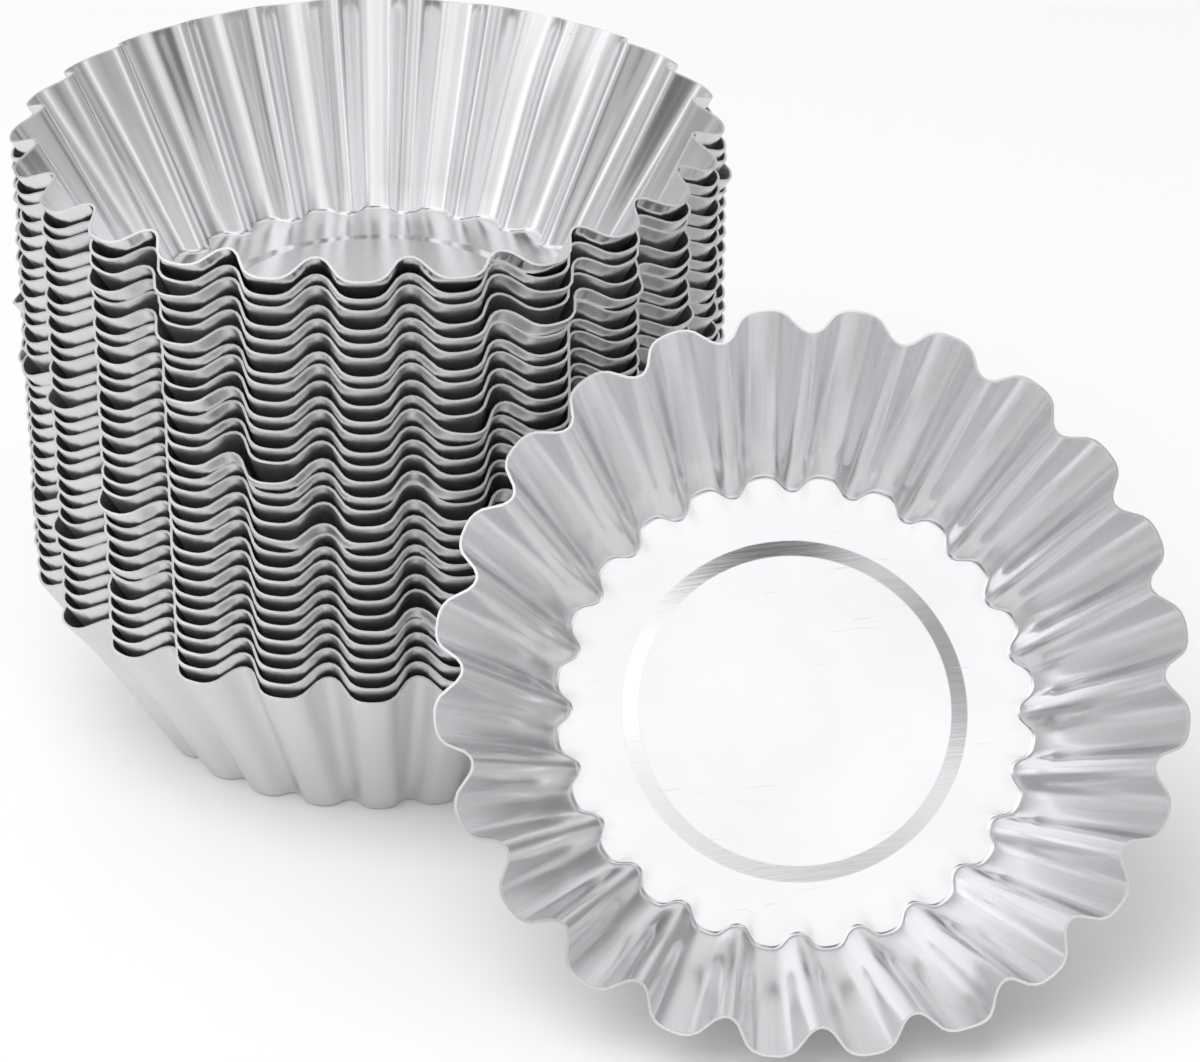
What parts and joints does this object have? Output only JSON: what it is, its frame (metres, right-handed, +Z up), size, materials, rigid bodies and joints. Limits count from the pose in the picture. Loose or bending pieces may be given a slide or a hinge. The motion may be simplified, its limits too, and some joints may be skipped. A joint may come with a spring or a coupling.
{
  "type": "fluted tart pan set",
  "caption": "Nested stack of small fluted tart pans in thin bright sheet metal, with a loose pan leaning against its front.",
  "frame": {"origin": "centre of the underside of the lowest pan's floor, on the stack's axis", "axes": "+Z up the stack's axis, -Y towards the side that the loose pan leans on and opens to, +X to the right seen from there"},
  "size_m": [0.1083, 0.1105, 0.0638],
  "materials": {
    "stacked_sheet": "bright pressed aluminium sheet, thin cut rim edges, faint lengthwise drawing streaks",
    "loose_sheet": "bright pressed aluminium sheet with a near-white floor, fine scratches and one small rim nick"
  },
  "bodies": {
    "pan_01": {"stack_pan_01": "stacked_sheet"},
    "pan_02": {"stack_pan_02": "stacked_sheet"},
    "pan_03": {"stack_pan_03": "stacked_sheet"},
    "pan_04": {"stack_pan_04": "stacked_sheet"},
    "pan_05": {"stack_pan_05": "stacked_sheet"},
    "pan_06": {"stack_pan_06": "stacked_sheet"},
    "pan_07": {"stack_pan_07": "stacked_sheet"},
    "pan_08": {"stack_pan_08": "stacked_sheet"},
    "pan_09": {"stack_pan_09": "stacked_sheet"},
    "pan_10": {"stack_pan_10": "stacked_sheet"},
    "pan_11": {"stack_pan_11": "stacked_sheet"},
    "pan_12": {"stack_pan_12": "stacked_sheet"},
    "pan_13": {"stack_pan_13": "stacked_sheet"},
    "pan_14": {"stack_pan_14": "stacked_sheet"},
    "pan_15": {"stack_pan_15": "stacked_sheet"},
    "pan_16": {"stack_pan_16": "stacked_sheet"},
    "pan_17": {"stack_pan_17": "stacked_sheet"},
    "pan_18": {"stack_pan_18": "stacked_sheet"},
    "pan_19": {"stack_pan_19": "stacked_sheet"},
    "pan_20": {"stack_pan_20": "stacked_sheet"},
    "pan_21": {"stack_pan_21": "stacked_sheet"},
    "pan_22": {"stack_pan_22": "stacked_sheet"},
    "pan_23": {"stack_pan_23": "stacked_sheet"},
    "pan_24": {"stack_pan_24": "stacked_sheet"},
    "pan_25": {"stack_pan_25": "stacked_sheet"},
    "pan_26": {"stack_pan_26": "stacked_sheet"},
    "pan_27": {"stack_pan_27": "stacked_sheet"},
    "pan_28": {"stack_pan_28": "stacked_sheet"},
    "pan_29": {"stack_pan_29": "stacked_sheet"},
    "leaning": {"leaning_pan": "loose_sheet"}
  },
  "joints": [
    {"name": "lift_02", "type": "slide", "parent": "pan_01", "child": "pan_02", "axis": [0, 0, 1], "range_m": [0, 0.025]},
    {"name": "lift_03", "type": "slide", "parent": "pan_02", "child": "pan_03", "axis": [0, 0, 1], "range_m": [0, 0.025]},
    {"name": "lift_04", "type": "slide", "parent": "pan_03", "child": "pan_04", "axis": [0, 0, 1], "range_m": [0, 0.025]},
    {"name": "lift_05", "type": "slide", "parent": "pan_04", "child": "pan_05", "axis": [0, 0, 1], "range_m": [0, 0.025]},
    {"name": "lift_06", "type": "slide", "parent": "pan_05", "child": "pan_06", "axis": [0, 0, 1], "range_m": [0, 0.025]},
    {"name": "lift_07", "type": "slide", "parent": "pan_06", "child": "pan_07", "axis": [0, 0, 1], "range_m": [0, 0.025]},
    {"name": "lift_08", "type": "slide", "parent": "pan_07", "child": "pan_08", "axis": [0, 0, 1], "range_m": [0, 0.025]},
    {"name": "lift_09", "type": "slide", "parent": "pan_08", "child": "pan_09", "axis": [0, 0, 1], "range_m": [0, 0.025]},
    {"name": "lift_10", "type": "slide", "parent": "pan_09", "child": "pan_10", "axis": [0, 0, 1], "range_m": [0, 0.025]},
    {"name": "lift_11", "type": "slide", "parent": "pan_10", "child": "pan_11", "axis": [0, 0, 1], "range_m": [0, 0.025]},
    {"name": "lift_12", "type": "slide", "parent": "pan_11", "child": "pan_12", "axis": [0, 0, 1], "range_m": [0, 0.025]},
    {"name": "lift_13", "type": "slide", "parent": "pan_12", "child": "pan_13", "axis": [0, 0, 1], "range_m": [0, 0.025]},
    {"name": "lift_14", "type": "slide", "parent": "pan_13", "child": "pan_14", "axis": [0, 0, 1], "range_m": [0, 0.025]},
    {"name": "lift_15", "type": "slide", "parent": "pan_14", "child": "pan_15", "axis": [0, 0, 1], "range_m": [0, 0.025]},
    {"name": "lift_16", "type": "slide", "parent": "pan_15", "child": "pan_16", "axis": [0, 0, 1], "range_m": [0, 0.025]},
    {"name": "lift_17", "type": "slide", "parent": "pan_16", "child": "pan_17", "axis": [0, 0, 1], "range_m": [0, 0.025]},
    {"name": "lift_18", "type": "slide", "parent": "pan_17", "child": "pan_18", "axis": [0, 0, 1], "range_m": [0, 0.025]},
    {"name": "lift_19", "type": "slide", "parent": "pan_18", "child": "pan_19", "axis": [0, 0, 1], "range_m": [0, 0.025]},
    {"name": "lift_20", "type": "slide", "parent": "pan_19", "child": "pan_20", "axis": [0, 0, 1], "range_m": [0, 0.025]},
    {"name": "lift_21", "type": "slide", "parent": "pan_20", "child": "pan_21", "axis": [0, 0, 1], "range_m": [0, 0.025]},
    {"name": "lift_22", "type": "slide", "parent": "pan_21", "child": "pan_22", "axis": [0, 0, 1], "range_m": [0, 0.025]},
    {"name": "lift_23", "type": "slide", "parent": "pan_22", "child": "pan_23", "axis": [0, 0, 1], "range_m": [0, 0.025]},
    {"name": "lift_24", "type": "slide", "parent": "pan_23", "child": "pan_24", "axis": [0, 0, 1], "range_m": [0, 0.025]},
    {"name": "lift_25", "type": "slide", "parent": "pan_24", "child": "pan_25", "axis": [0, 0, 1], "range_m": [0, 0.025]},
    {"name": "lift_26", "type": "slide", "parent": "pan_25", "child": "pan_26", "axis": [0, 0, 1], "range_m": [0, 0.025]},
    {"name": "lift_27", "type": "slide", "parent": "pan_26", "child": "pan_27", "axis": [0, 0, 1], "range_m": [0, 0.025]},
    {"name": "lift_28", "type": "slide", "parent": "pan_27", "child": "pan_28", "axis": [0, 0, 1], "range_m": [0, 0.025]},
    {"name": "lift_29", "type": "slide", "parent": "pan_28", "child": "pan_29", "axis": [0, 0, 1], "range_m": [0, 0.025]},
    {"name": "lift_leaning", "type": "slide", "parent": "pan_01", "child": "leaning", "axis": [0, -0.766, 0.6428], "range_m": [0, 0.06]}
  ]
}
